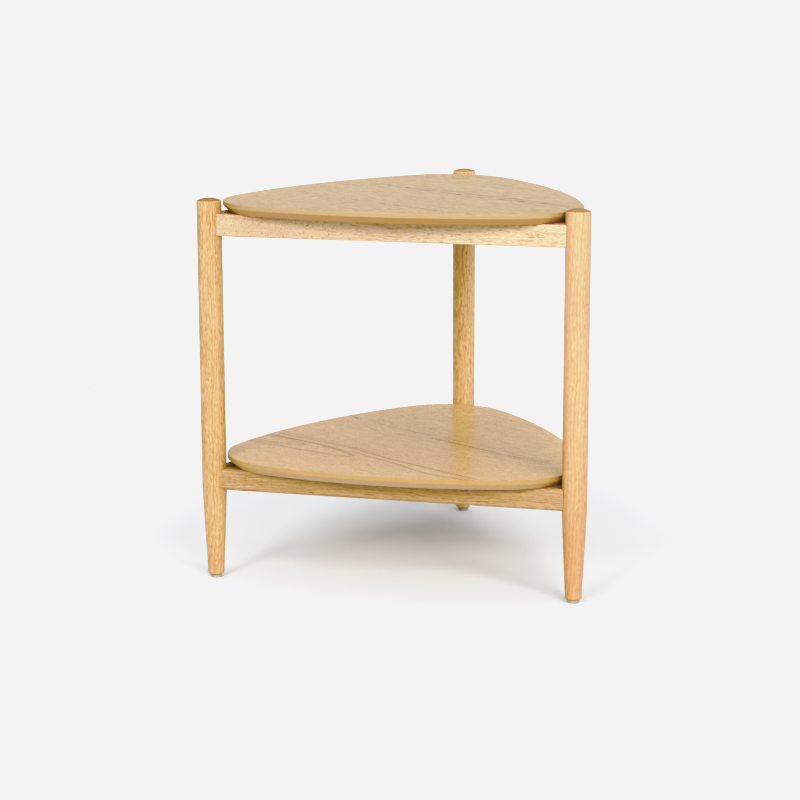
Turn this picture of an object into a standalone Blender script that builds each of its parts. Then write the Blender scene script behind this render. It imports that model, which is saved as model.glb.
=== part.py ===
"""Three-legged side table with a table top and a lower shelf, for Blender 4.5.

Lengths are in metres and +Z is up. The table stands on Z = 0, with the middle of
its box on the Z axis. Three turned legs stand on a circle. On each tier three rails
run from leg to leg as a triangle, and a shelf with three rounded corners lies on
them. One third of the table, which is a leg and the rails that start at it, hangs on
a pivot at the middle of the leg circle, and the three pivots stand a third of a turn
apart. Each leg, rail, shelf, dowel, screw, glide and nail is an object of its own.
"""

import math

import bmesh
import bpy
from mathutils import Matrix, Vector

TABLE_NAME = "side_table"

# The whole table
TABLE_HEIGHT = 0.550
LEG_CIRCLE_RADIUS = 0.302
SEAT_GAP = 0.0003  # left between two pieces that touch

# Legs, turned, with a taper that starts under the lower rails
LEG_DIAMETER = 0.035
LEG_TOP_ROUND = 0.0012  # the rim of the domed top
LEG_TOP_FALL = 0.006  # from the middle of the top down to the straight side
FOOT_DIAMETER = 0.023
FOOT_CHAMFER = 0.0025

# Glides under the legs, each held by one nail with a sunk head
GLIDE_MARGIN = 0.00075  # from the glide's rim to the flat of the foot's edge
GLIDE_TAPER = 0.001  # what the glide's radius loses towards the floor
GLIDE_EDGE = 0.0006
GLIDE_WEB = 0.0017  # between the nail's head and the leg
NAIL_DIAMETER = 0.002
NAIL_POINT = 0.002
NAIL_BITE = 0.012
NAIL_HEAD_DIAMETER = 0.006
NAIL_HEAD_HEIGHT = 0.001
NAIL_HEAD_SINK = 0.001

# Rails
RAIL_HEIGHT = 0.031
RAIL_THICKNESS = 0.022
RAIL_EDGE_RADIUS = 0.0025
LOWER_RAIL_CLEARANCE = 0.132  # from the floor to the underside

# Table top and lower shelf, one shape
SHELF_THICKNESS = 0.015
SHELF_EDGE_BAND = 0.006  # the upright part of the edge, over a 45 degree bevel
SHELF_ARRIS = 0.0006  # the broken edge round the upper face
SHELF_LEG_GAP = 0.004  # from a corner's tip to the leg behind it
SHELF_CORNER_RADIUS = 0.104
SHELF_SIDE_RADIUS = 0.695
LEG_STANDOUT = 0.0064  # leg tops above the table top

# Dowels, two in each end of a rail
DOWEL_DIAMETER = 0.008
DOWEL_LENGTH = 0.030
DOWEL_CHAMFER = 0.001
DOWEL_WEB = 0.0005  # wood left in the leg between two rails' holes

# Screws, two up through each rail into the shelf, with heads in counterbores
SCREW_DIAMETER = 0.004
SCREW_POINT = 0.003
SCREW_COVER = 0.006  # shelf left above the point
SCREW_HEAD_DIAMETER = 0.008
SCREW_HEAD_HEIGHT = 0.0025
SCREW_HEAD_ROUND = 0.001
SCREW_SPREAD = 0.240
COUNTERBORE_DIAMETER = 0.011
COUNTERBORE_DEPTH = 0.010

# Counts and angles
THIRD = math.tau / 3
HALF_CORNER = math.tau / 12  # half the angle between two rails at a leg
LEG_SIDES = 36  # a multiple of 12, so that a leg's flats face its rails
CROWN_STEPS = 5
RIM_STEPS = 3
CORNER_STEPS = 14
SIDE_STEPS = 14
DOWEL_SIDES = 10
SCREW_SIDES = 12
GLIDE_SIDES = 24
EDGE_STEPS = 3
SHARP_ANGLE = math.radians(30)
MERGE_DISTANCE = 0.00001

# Worked out from the values above
LEG_RADIUS = LEG_DIAMETER / 2
RAIL_LENGTH = 2 * LEG_CIRCLE_RADIUS * math.cos(HALF_CORNER)  # between leg axes
RAIL_DISTANCE = LEG_CIRCLE_RADIUS * math.sin(HALF_CORNER)  # from the table's middle
UPPER_RAIL_CLEARANCE = (
    TABLE_HEIGHT - LEG_STANDOUT - SHELF_THICKNESS - SEAT_GAP - RAIL_HEIGHT
)
TIERS = {"upper": UPPER_RAIL_CLEARANCE, "lower": LOWER_RAIL_CLEARANCE}
GLIDE_HEIGHT = NAIL_HEAD_SINK + NAIL_HEAD_HEIGHT + SEAT_GAP + GLIDE_WEB
LEG_UNDERSIDE = GLIDE_HEIGHT + SEAT_GAP
DOWEL_HOLE_RADIUS = DOWEL_DIAMETER / 2 + SEAT_GAP
DOWEL_HOLE_START = (DOWEL_HOLE_RADIUS + DOWEL_WEB) / math.tan(HALF_CORNER)
DOWEL_START = DOWEL_HOLE_START + SEAT_GAP  # from the leg's axis
DOWEL_WALL = (RAIL_HEIGHT - 4 * DOWEL_HOLE_RADIUS) / 3  # below, between and above
DOWEL_HEIGHTS = {
    "low": DOWEL_WALL + DOWEL_HOLE_RADIUS,
    "high": RAIL_HEIGHT - DOWEL_WALL - DOWEL_HOLE_RADIUS,
}
SCREW_HEAD_TOP = COUNTERBORE_DEPTH - SEAT_GAP
SCREW_BITE = SHELF_THICKNESS - SCREW_COVER
SCREW_TIP = RAIL_HEIGHT + SEAT_GAP + SCREW_BITE

# The shelf's outline is six arcs, each tangent to the next: a small one round each
# corner and a wide one along each side. The centres lie on the lines from the middle
# to the corners and from the sides through the middle.
CORNER_REACH = LEG_CIRCLE_RADIUS - LEG_RADIUS - SHELF_LEG_GAP
CORNER_CENTRE = CORNER_REACH - SHELF_CORNER_RADIUS
ARC_CENTRES_APART = SHELF_SIDE_RADIUS - SHELF_CORNER_RADIUS
SIDE_CENTRE = (
    math.sqrt(4 * ARC_CENTRES_APART**2 - 3 * CORNER_CENTRE**2) - CORNER_CENTRE
) / 2
SIDE_REACH = SHELF_SIDE_RADIUS - SIDE_CENTRE
ARC_JOIN = math.asin(SIDE_CENTRE * math.sin(THIRD) / ARC_CENTRES_APART)
MIDDLE_Y = (SIDE_REACH - LEG_CIRCLE_RADIUS - LEG_RADIUS) / 2
CUT_OVERRUN = RAIL_THICKNESS  # how far a cutter runs out of the piece

# The three thirds: name of the leg, name of the rails that start at it, leg at their
# far end
THIRDS = (
    ("left", "front", "right"),
    ("right", "right", "back"),
    ("back", "left", "left"),
)


def clear_scene():
    for item in list(bpy.data.objects):
        bpy.data.objects.remove(item, do_unlink=True)


def new_collection(name):
    collection = bpy.data.collections.new(name)
    bpy.context.scene.collection.children.link(collection)
    return collection


def new_material(name, colour, roughness, metallic=0.0):
    material = bpy.data.materials.new(name)
    material.use_nodes = True
    shader = material.node_tree.nodes["Principled BSDF"]
    shader.inputs["Base Color"].default_value = (*colour, 1.0)
    shader.inputs["Roughness"].default_value = roughness
    shader.inputs["Metallic"].default_value = metallic
    return material


def evaluated_mesh(item):
    """The object's mesh with its modifiers applied."""
    graph = bpy.context.evaluated_depsgraph_get()
    return bpy.data.meshes.new_from_object(item.evaluated_get(graph))


def finish(mesh, material):
    """Give a mesh its material, and smooth shading between its sharp edges."""
    mesh.materials.clear()
    mesh.materials.append(material)
    mesh.shade_smooth()
    mesh.set_sharp_from_angle(angle=SHARP_ANGLE)
    return mesh


def object_from(shape, name, collection):
    """A new object from a bmesh, which is freed."""
    mesh = bpy.data.meshes.new(name)
    shape.to_mesh(mesh)
    shape.free()
    item = bpy.data.objects.new(name, mesh)
    collection.objects.link(item)
    return item


def add_cylinder(shape, radius, start, end, sides):
    """Add a capped cylinder that runs from one point to another."""
    start, end = Vector(start), Vector(end)
    run = end - start
    turn = Vector((0, 0, 1)).rotation_difference(run).to_matrix().to_4x4()
    bmesh.ops.create_cone(
        shape,
        cap_ends=True,
        segments=sides,
        radius1=radius,
        radius2=radius,
        depth=run.length,
        matrix=Matrix.Translation((start + end) / 2) @ turn,
    )


def add_box(shape, low, high, place=None):
    """Add a box between two corners, then put it in its place."""
    low, high = Vector(low), Vector(high)
    size = Matrix.Diagonal((*(high - low), 1))
    box = Matrix.Translation((low + high) / 2) @ size
    bmesh.ops.create_cube(shape, size=1, matrix=(place or Matrix()) @ box)


def turned_mesh(name, profile, sides, closed=False):
    """Turn a profile of (radius, height) points, outer side downwards, about Z."""
    shape = bmesh.new()
    points = [shape.verts.new((radius, 0, height)) for radius, height in profile]
    for upper, lower in zip(points, points[1:]):
        shape.edges.new((upper, lower))
    if closed:
        shape.edges.new((points[-1], points[0]))
    item = object_from(shape, name, cutters)
    screw = item.modifiers.new("Turn", "SCREW")
    screw.steps = sides
    screw.render_steps = sides
    screw.use_merge_vertices = True
    screw.merge_threshold = MERGE_DISTANCE
    mesh = evaluated_mesh(item)
    mesh.name = name
    bpy.data.objects.remove(item)
    return mesh


def cut_mesh(mesh, tools):
    """Cut a mesh with each (name, bmesh) tool in turn, and return the result."""
    item = bpy.data.objects.new(mesh.name, mesh)
    cutters.objects.link(item)
    for name, shape in tools:
        tool = object_from(shape, f"{mesh.name}_{name}_cutter", cutters)
        tool.hide_render = True
        tool.display_type = "WIRE"
        boolean = item.modifiers.new(name, "BOOLEAN")
        boolean.operation = "DIFFERENCE"
        boolean.solver = "EXACT"
        boolean.object = tool
    cut = evaluated_mesh(item)
    cut.name = mesh.name
    for modifier in item.modifiers:
        bpy.data.objects.remove(modifier.object)
    bpy.data.objects.remove(item)
    return cut


def profile_arc(centre, radius, start, end, steps):
    """Profile points along an arc, with its angles measured from the upright."""
    points = []
    for step in range(steps + 1):
        angle = start + (end - start) * step / steps
        points.append(
            (centre[0] + radius * math.sin(angle), centre[1] + radius * math.cos(angle))
        )
    return points


def leg_top_profile():
    """Profile points of a leg's domed top, from its middle down to its side.

    A wide arc crowns the top and a small one rounds its rim, tangent to each other.
    """
    rim_centre = LEG_RADIUS - LEG_TOP_ROUND
    crown_radius = (rim_centre**2 + LEG_TOP_FALL**2 - LEG_TOP_ROUND**2) / (
        2 * (LEG_TOP_FALL - LEG_TOP_ROUND)
    )
    join = math.asin(rim_centre / (crown_radius - LEG_TOP_ROUND))
    crown_centre = (0, TABLE_HEIGHT - crown_radius)
    shoulder = (rim_centre, TABLE_HEIGHT - LEG_TOP_FALL)
    crown = profile_arc(crown_centre, crown_radius, 0, join, CROWN_STEPS)
    rim = profile_arc(shoulder, LEG_TOP_ROUND, join, math.pi / 2, RIM_STEPS)
    return crown[:-1] + rim


def leg_mesh():
    """A leg on its own axis, its feet on Z = 0 and +X pointing out of the table."""
    foot_radius = FOOT_DIAMETER / 2
    bore_radius = NAIL_DIAMETER / 2 + SEAT_GAP
    bore_top = LEG_UNDERSIDE + NAIL_BITE + SEAT_GAP
    profile = leg_top_profile()
    profile += [
        (LEG_RADIUS, LOWER_RAIL_CLEARANCE),
        (foot_radius, LEG_UNDERSIDE + FOOT_CHAMFER),
        (foot_radius - FOOT_CHAMFER, LEG_UNDERSIDE),
        (bore_radius, LEG_UNDERSIDE),
        (bore_radius, bore_top),
        (0, bore_top),
    ]
    drill = bmesh.new()
    for clearance in TIERS.values():
        for height in DOWEL_HEIGHTS.values():
            for side in (-1, 1):
                way = Vector((-math.cos(HALF_CORNER), side * math.sin(HALF_CORNER), 0))
                level = Vector((0, 0, clearance + height))
                start = level + way * DOWEL_HOLE_START
                end = level + way * (LEG_RADIUS + CUT_OVERRUN)
                add_cylinder(drill, DOWEL_HOLE_RADIUS, start, end, DOWEL_SIDES)
    return cut_mesh(turned_mesh("leg", profile, LEG_SIDES), [("dowel_holes", drill)])


def rail_mesh():
    """A rail along X about its middle, its underside on Z = 0 and +Y inwards."""
    half_length, half_thickness = RAIL_LENGTH / 2, RAIL_THICKNESS / 2
    shape = bmesh.new()
    add_box(
        shape,
        (-half_length, -half_thickness, 0),
        (half_length, half_thickness, RAIL_HEIGHT),
    )
    long_edges = [
        edge for edge in shape.edges if edge.verts[0].co.yz == edge.verts[1].co.yz
    ]
    bmesh.ops.bevel(
        shape,
        geom=long_edges,
        offset=RAIL_EDGE_RADIUS,
        segments=EDGE_STEPS,
        profile=0.5,
        affect="EDGES",
    )
    blank = bpy.data.meshes.new("rail")
    shape.to_mesh(blank)
    shape.free()

    copes, mitres, drill, counterbores = (bmesh.new() for _ in range(4))
    for end in (-1, 1):
        leg_axis = end * half_length
        add_cylinder(
            copes,
            LEG_RADIUS + SEAT_GAP,
            (leg_axis, 0, -CUT_OVERRUN),
            (leg_axis, 0, RAIL_HEIGHT + CUT_OVERRUN),
            LEG_SIDES,
        )
        # The mitre plane stands on the leg's axis, halfway between the two rails.
        side = math.pi - HALF_CORNER if end > 0 else HALF_CORNER
        turn = Matrix.Rotation(side, 4, "Z")
        mitre_place = Matrix.Translation((leg_axis, 0, 0)) @ turn
        near, far = sorted((end * SEAT_GAP / 2, -end * RAIL_THICKNESS))
        add_box(
            mitres,
            (0, near, -CUT_OVERRUN),
            (2 * RAIL_THICKNESS, far, RAIL_HEIGHT + CUT_OVERRUN),
            mitre_place,
        )
        hole_end = end * (half_length - DOWEL_START - DOWEL_LENGTH - SEAT_GAP)
        for height in DOWEL_HEIGHTS.values():
            add_cylinder(
                drill,
                DOWEL_HOLE_RADIUS,
                (leg_axis, 0, height),
                (hole_end, 0, height),
                DOWEL_SIDES,
            )
        screw_x = end * SCREW_SPREAD / 2
        add_cylinder(
            drill,
            SCREW_DIAMETER / 2 + SEAT_GAP,
            (screw_x, 0, -CUT_OVERRUN),
            (screw_x, 0, RAIL_HEIGHT + CUT_OVERRUN),
            SCREW_SIDES,
        )
        add_cylinder(
            counterbores,
            COUNTERBORE_DIAMETER / 2,
            (screw_x, 0, -CUT_OVERRUN),
            (screw_x, 0, COUNTERBORE_DEPTH),
            SCREW_SIDES,
        )
    tools = [
        ("copes", copes),
        ("mitres", mitres),
        ("drill", drill),
        ("counterbores", counterbores),
    ]
    return cut_mesh(blank, tools)


def arc_points(centre, radius, start, end, steps):
    """Points along an arc in the XY plane, without its last one."""
    points = []
    for step in range(steps):
        angle = start + (end - start) * step / steps
        points.append(centre + radius * Vector((math.cos(angle), math.sin(angle), 0)))
    return points


def shelf_outline():
    """The shelf's outline about its middle, with one corner towards +Y."""
    points = []
    for third in range(len(THIRDS)):
        corner = math.pi / 2 + THIRD * third
        side = corner + THIRD / 2
        corner_centre = CORNER_CENTRE * Vector((math.cos(corner), math.sin(corner), 0))
        side_centre = -SIDE_CENTRE * Vector((math.cos(side), math.sin(side), 0))
        points += arc_points(
            corner_centre,
            SHELF_CORNER_RADIUS,
            corner - ARC_JOIN,
            corner + ARC_JOIN,
            CORNER_STEPS,
        )
        points += arc_points(
            side_centre,
            SHELF_SIDE_RADIUS,
            corner + ARC_JOIN,
            corner + THIRD - ARC_JOIN,
            SIDE_STEPS,
        )
    return points


def shelf_mesh():
    """A shelf about its middle, its underside on Z = 0 and one corner towards +Y."""
    shape = bmesh.new()
    ring = [shape.verts.new(point) for point in shelf_outline()]
    underside = shape.faces.new(reversed(ring))
    raised = bmesh.ops.extrude_face_region(shape, geom=[underside])["geom"]
    upper = [item for item in raised if isinstance(item, bmesh.types.BMVert)]
    bmesh.ops.translate(shape, vec=(0, 0, SHELF_THICKNESS), verts=upper)
    bmesh.ops.recalc_face_normals(shape, faces=shape.faces)
    bevel = SHELF_THICKNESS - SHELF_EDGE_BAND
    for level, width in ((0, bevel), (SHELF_THICKNESS, SHELF_ARRIS)):
        rim = [
            edge
            for edge in shape.edges
            if all(abs(vert.co.z - level) < MERGE_DISTANCE for vert in edge.verts)
        ]
        bmesh.ops.bevel(
            shape, geom=rim, offset=width, segments=1, profile=0.5, affect="EDGES"
        )
    blank = bpy.data.meshes.new("shelf")
    shape.to_mesh(blank)
    shape.free()

    pilots = bmesh.new()
    for third in range(len(THIRDS)):
        turn = Matrix.Rotation(THIRD * third, 3, "Z")
        for side in (-1, 1):
            foot = turn @ Vector((side * SCREW_SPREAD / 2, -RAIL_DISTANCE, -CUT_OVERRUN))
            top = Vector((foot.x, foot.y, SCREW_BITE + SEAT_GAP))
            add_cylinder(pilots, SCREW_DIAMETER / 2 + SEAT_GAP, foot, top, SCREW_SIDES)
    return cut_mesh(blank, [("pilot_holes", pilots)])


def dowel_mesh():
    """A dowel along Z about its middle, with both ends chamfered."""
    radius, half = DOWEL_DIAMETER / 2, DOWEL_LENGTH / 2
    profile = [
        (0, half),
        (radius - DOWEL_CHAMFER, half),
        (radius, half - DOWEL_CHAMFER),
        (radius, DOWEL_CHAMFER - half),
        (radius - DOWEL_CHAMFER, -half),
        (0, -half),
    ]
    return turned_mesh("dowel", profile, DOWEL_SIDES)


def screw_mesh():
    """A pan-head screw, point up, with Z = 0 at the underside of its rail."""
    shank, head = SCREW_DIAMETER / 2, SCREW_HEAD_DIAMETER / 2
    head_bottom = SCREW_HEAD_TOP - SCREW_HEAD_HEIGHT
    profile = [
        (0, SCREW_TIP),
        (shank, SCREW_TIP - SCREW_POINT),
        (shank, SCREW_HEAD_TOP),
        (head, SCREW_HEAD_TOP),
        (head, head_bottom + SCREW_HEAD_ROUND),
        (head - SCREW_HEAD_ROUND, head_bottom),
        (0, head_bottom),
    ]
    return turned_mesh("screw", profile, SCREW_SIDES)


def glide_mesh():
    """A round glide on its own axis, with a hole and a recess for its nail."""
    hole = NAIL_DIAMETER / 2 + SEAT_GAP
    recess = NAIL_HEAD_DIAMETER / 2 + SEAT_GAP
    recess_top = NAIL_HEAD_SINK + NAIL_HEAD_HEIGHT + SEAT_GAP
    top = FOOT_DIAMETER / 2 - FOOT_CHAMFER - GLIDE_MARGIN
    base = top - GLIDE_TAPER
    profile = [
        (hole, GLIDE_HEIGHT),
        (top, GLIDE_HEIGHT),
        (base, GLIDE_EDGE),
        (base - GLIDE_EDGE, 0),
        (recess, 0),
        (recess, recess_top),
        (hole, recess_top),
    ]
    return turned_mesh("glide", profile, GLIDE_SIDES, closed=True)


def nail_mesh():
    """A nail on its glide's axis, point up, its head sunk above the floor."""
    shank, head = NAIL_DIAMETER / 2, NAIL_HEAD_DIAMETER / 2
    tip = LEG_UNDERSIDE + NAIL_BITE
    head_top = NAIL_HEAD_SINK + NAIL_HEAD_HEIGHT
    profile = [
        (0, tip),
        (shank, tip - NAIL_POINT),
        (shank, head_top),
        (head, head_top),
        (head, NAIL_HEAD_SINK),
        (0, NAIL_HEAD_SINK),
    ]
    return turned_mesh("nail", profile, SCREW_SIDES)


def place(name, mesh, pivot, location, rotation=(0, 0, 0)):
    """Put one piece of the table in its place on a pivot."""
    item = bpy.data.objects.new(name, mesh)
    table.objects.link(item)
    item.parent = pivot
    item.location = location
    item.rotation_euler = rotation
    return item


def place_leg(leg_name, pivot):
    """A leg with its glide and nail, at the left end of the pivot's rails."""
    spot = (-RAIL_LENGTH / 2, -RAIL_DISTANCE, 0)
    outwards = (0, 0, math.pi + HALF_CORNER)
    place(f"leg_{leg_name}", meshes["leg"], pivot, spot, outwards)
    place(f"glide_{leg_name}", meshes["glide"], pivot, spot, outwards)
    place(f"glide_nail_{leg_name}", meshes["nail"], pivot, spot, outwards)


def place_rail(tier, side_name, ends, pivot):
    """A rail of one tier with its four dowels and two screws."""
    clearance = TIERS[tier]
    place(f"{tier}_rail_{side_name}", meshes["rail"], pivot, (0, -RAIL_DISTANCE, clearance))
    for end, leg_name in zip((-1, 1), ends):
        middle = end * (RAIL_LENGTH / 2 - DOWEL_START - DOWEL_LENGTH / 2)
        for level, height in DOWEL_HEIGHTS.items():
            place(
                f"dowel_{tier}_{side_name}_rail_to_{leg_name}_leg_{level}",
                meshes["dowel"],
                pivot,
                (middle, -RAIL_DISTANCE, clearance + height),
                (0, end * math.pi / 2, 0),
            )
        place(
            f"screw_{tier}_{side_name}_rail_near_{leg_name}_leg",
            meshes["screw"],
            pivot,
            (end * SCREW_SPREAD / 2, -RAIL_DISTANCE, clearance),
        )


clear_scene()
table = new_collection(TABLE_NAME)
cutters = new_collection("cutters")
meshes = {
    "leg": finish(leg_mesh(), new_material("leg_wood", (0.75, 0.47, 0.21), 0.45)),
    "rail": finish(rail_mesh(), new_material("rail_wood", (0.74, 0.55, 0.29), 0.5)),
    "shelf": finish(shelf_mesh(), new_material("shelf_veneer", (0.66, 0.48, 0.30), 0.4)),
    "dowel": finish(dowel_mesh(), new_material("dowel_beech", (0.68, 0.48, 0.27), 0.6)),
    "screw": finish(screw_mesh(), new_material("screw_steel", (0.62, 0.60, 0.55), 0.3, 1.0)),
    "glide": finish(glide_mesh(), new_material("glide_plastic", (0.60, 0.60, 0.57), 0.5)),
    "nail": finish(nail_mesh(), new_material("nail_steel", (0.56, 0.56, 0.55), 0.35, 1.0)),
}
for third, (leg_name, side_name, next_leg_name) in enumerate(THIRDS):
    pivot = bpy.data.objects.new(f"third_{side_name}", None)
    table.objects.link(pivot)
    pivot.location = (0, MIDDLE_Y, 0)
    pivot.rotation_euler = (0, 0, THIRD * third)
    place_leg(leg_name, pivot)
    for tier in TIERS:
        place_rail(tier, side_name, (leg_name, next_leg_name), pivot)

for shelf_name, clearance in (
    ("table_top", UPPER_RAIL_CLEARANCE),
    ("lower_shelf", LOWER_RAIL_CLEARANCE),
):
    seat = clearance + RAIL_HEIGHT + SEAT_GAP
    place(shelf_name, meshes["shelf"], None, (0, MIDDLE_Y, seat))
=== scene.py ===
# %% [markdown]
# This lesson dresses a three-legged side table in wood. A plain model of it, the frame,
# is already there and gives the size and the place of every piece. We load it first
# and keep its pieces.

# %% Load the frame
import math

import bmesh
import bpy
from mathutils import Matrix, Vector


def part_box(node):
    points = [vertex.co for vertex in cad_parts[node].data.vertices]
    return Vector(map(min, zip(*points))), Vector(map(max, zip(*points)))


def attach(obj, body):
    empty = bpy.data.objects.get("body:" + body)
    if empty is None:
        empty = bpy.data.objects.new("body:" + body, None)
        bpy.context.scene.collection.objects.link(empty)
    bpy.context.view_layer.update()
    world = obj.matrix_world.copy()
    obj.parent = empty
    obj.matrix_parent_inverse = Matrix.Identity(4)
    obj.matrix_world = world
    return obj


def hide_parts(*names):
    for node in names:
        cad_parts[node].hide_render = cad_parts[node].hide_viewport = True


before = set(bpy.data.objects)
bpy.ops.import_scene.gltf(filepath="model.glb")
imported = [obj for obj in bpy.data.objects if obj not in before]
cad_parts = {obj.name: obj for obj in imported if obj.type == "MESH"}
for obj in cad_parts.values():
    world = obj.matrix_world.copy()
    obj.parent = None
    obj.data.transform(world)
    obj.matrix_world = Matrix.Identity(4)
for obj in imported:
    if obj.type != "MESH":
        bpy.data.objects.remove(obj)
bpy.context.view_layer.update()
scene = bpy.context.scene
print("pieces in the frame:", len(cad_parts))

# %% [markdown]
# The camera comes first, because everything after it is seen through it. A long lens
# from three metres away keeps the legs almost parallel, as in a catalogue picture. It
# stands a little to the right of the table's front and looks down on it by 12 degrees.
# A camera looks along its own -Z, so its three axes are worked out from those angles.

# %% Camera
LENS = 100.42
CAMERA_AZIMUTH = math.radians(14.628)
CAMERA_ELEVATION = math.radians(12.025)
CAMERA_ROLL = math.radians(-0.155)
CAMERA_DISTANCE = 3.2658
CAMERA_TARGET = Vector((-0.02576, -0.05357, 0.24170))


def camera_matrix():
    """The camera's place: its right, up and back axes, and where it stands."""
    east, north = math.sin(CAMERA_AZIMUTH), math.cos(CAMERA_AZIMUTH)
    flat = math.cos(CAMERA_ELEVATION)
    back = Vector((east * flat, -north * flat, math.sin(CAMERA_ELEVATION)))
    level = Vector((north, east, 0))
    upright = back.cross(level)
    right = level * math.cos(CAMERA_ROLL) + upright * math.sin(CAMERA_ROLL)
    axes = Matrix((right, back.cross(right), back)).transposed().to_4x4()
    return Matrix.Translation(CAMERA_TARGET + back * CAMERA_DISTANCE) @ axes


camera_data = bpy.data.cameras.new("camera")
camera_data.lens = LENS
camera = bpy.data.objects.new("camera", camera_data)
camera.matrix_world = camera_matrix()
scene.collection.objects.link(camera)
scene.camera = camera
print("camera stands at", [round(place, 3) for place in camera.matrix_world.translation])

# %% [markdown]
# Materials and Geometry Nodes are both trees of nodes. Linking them one by one is hard
# to read, so two small classes do it. Tree adds a node from its type, its settings and
# what its sockets get. Value wraps one socket, so that a sum in Python, such as
# 1 - mask * 0.5, adds the Math nodes that work it out.

# %% Trees of nodes written as sums
def of_one(operation):
    """A method that adds a Math node for the value itself."""
    return lambda value: value.math(operation, value)


def of_two(operation):
    """An operator and its reflected form, as in value - 1 and 1 - value."""
    return (
        lambda value, other: value.math(operation, value, other),
        lambda value, other: value.math(operation, other, value),
    )


class Value:
    """A socket of a tree of nodes, on which Python's operators add Math nodes."""

    __add__, __radd__ = of_two("ADD")
    __sub__, __rsub__ = of_two("SUBTRACT")
    __mul__, __rmul__ = of_two("MULTIPLY")
    __truediv__, __rtruediv__ = of_two("DIVIDE")
    __pow__, __rpow__ = of_two("POWER")
    __mod__, __rmod__ = of_two("MODULO")
    __lt__, __gt__ = of_two("LESS_THAN")
    __abs__ = of_one("ABSOLUTE")
    __floor__ = of_one("FLOOR")
    cos = of_one("COSINE")
    sin = of_one("SINE")
    fraction = of_one("FRACT")

    def __init__(self, tree, socket):
        self.tree = tree
        self.socket = socket

    def __neg__(self):
        return self * -1

    def math(self, operation, *values):
        return self.tree.node("ShaderNodeMath", {"operation": operation}, dict(enumerate(values)))

    def between(self, low, high):
        """A soft step from 0 at low to 1 at high."""
        sockets = {"Value": self, "From Min": low, "From Max": high}
        return self.tree.node("ShaderNodeMapRange", {"interpolation_type": "SMOOTHSTEP"}, sockets)


def draw_curve(curve, places):
    """Run a curve, which starts with two points, through some places."""
    for end, place in zip(curve.points, (places[0], places[-1])):
        end.location = place
    for place in places[1:-1]:
        curve.points.new(*place)


class Tree:
    """Adds nodes to the tree of a material or of a Geometry Nodes modifier."""

    def __init__(self, nodes):
        self.nodes = nodes.nodes
        self.links = nodes.links

    def node(self, kind, settings={}, sockets={}, result=0):
        """Add a node, set it, feed its sockets, and return one of its results."""
        made = self.nodes.new(kind)
        for name, setting in settings.items():
            if name == "mapping":
                draw_curve(made.mapping.curves[0], setting)
                made.mapping.update()
            else:
                setattr(made, name, setting)
        for name, value in sockets.items():
            self.feed(self.find(made.inputs, name), value)
        return Value(self, self.find(made.outputs, result))

    def find(self, sockets, name):
        """A socket by its number, or the one in use by its name."""
        if isinstance(name, int):
            return sockets[name]
        return next(socket for socket in sockets if socket.name == name and socket.enabled)

    def feed(self, socket, value):
        """Link values to a socket, or set it."""
        if isinstance(value, Value):
            self.links.new(value.socket, socket)
        elif socket.is_multi_input:
            for item in value:
                self.links.new(item.socket, socket)
        elif socket.type == "RGBA":
            socket.default_value = (*value, 1)
        else:
            socket.default_value = value

    def vector(self, x, y, z):
        return self.node("ShaderNodeCombineXYZ", {}, {"X": x, "Y": y, "Z": z})

    def parts(self, vector):
        split = self.node("ShaderNodeSeparateXYZ", {}, {"Vector": vector}).socket.node
        return [Value(self, socket) for socket in split.outputs]

    def vectors(self, operation, first, second):
        """Vector Math on two vectors, or on a vector and a number for SCALE."""
        sockets = {0: first, "Scale" if operation == "SCALE" else 1: second}
        return self.node("ShaderNodeVectorMath", {"operation": operation}, sockets)

    def mix(self, factor, first, second):
        """Blend two colours."""
        sockets = {"Factor": factor, "A": first, "B": second}
        return self.node("ShaderNodeMix", {"data_type": "RGBA"}, sockets, "Result")

    def noise(self, point, stretch, detail=2.0, roughness=0.5):
        """Noise from 0 to 1 whose lumps are as long as stretch says, in metres."""
        scaled = self.vectors("MULTIPLY", point, [1 / length for length in stretch])
        sockets = {"Vector": scaled, "Scale": 1.0, "Detail": detail, "Roughness": roughness}
        return self.node("ShaderNodeTexNoise", {}, sockets)

    def attribute(self, name, result):
        """A value or a vector that a piece carries under a name."""
        return self.node("ShaderNodeAttribute", {"attribute_name": name}, {}, result)


print("helpers ready:", Tree.__name__, "and", Value.__name__)

# %% [markdown]
# The studio is a wide pale floor under a white sky, with soft lights round the front of
# the table, one above it and a weak one low behind, which the satin shelves reflect. Sun
# lamps with an angle are used as soft boxes: they light the whole floor alike, so it
# stays one plain tone up to the picture's edge. A small angle gives the crisp shadow of
# a shelf on its rail, and a wide one lets shadows spread. Seen from behind, the two
# strongest would burn out the satin of the shelves, so glossy rays don't see them. The
# plain Standard view shows the colours of the materials. Its curves work like those in a
# photographer's editor: the first deepens the shadows and holds the paper white at one
# grey, and those for green and blue keep the deep shadows of wood warm.

# %% Studio
FLOOR_SPAN = 160.0
FLOOR_SQUARES = 8
FLOOR_COLOUR = (0.785, 0.80, 0.82)
SKY_COLOUR = (0.96, 0.99, 1.02)
SKY_STRENGTH = 0.50
LEVELS = ((0.05, 0.033), (0.12, 0.056), (0.28, 0.219), (0.50, 0.443), (0.82, 0.82))
PAPER_WHITE = (1.0, 0.896)
SHADOW_GREENS = ((0.05, 0.036), (0.15, 0.130), (0.30, 0.30))
SHADOW_BLUES = ((0.03, 0.012), (0.08, 0.018), (0.16, 0.100), (0.30, 0.30))


def new_material(name):
    material = bpy.data.materials.new(name)
    material.use_nodes = True
    return material, Tree(material.node_tree)


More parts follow.
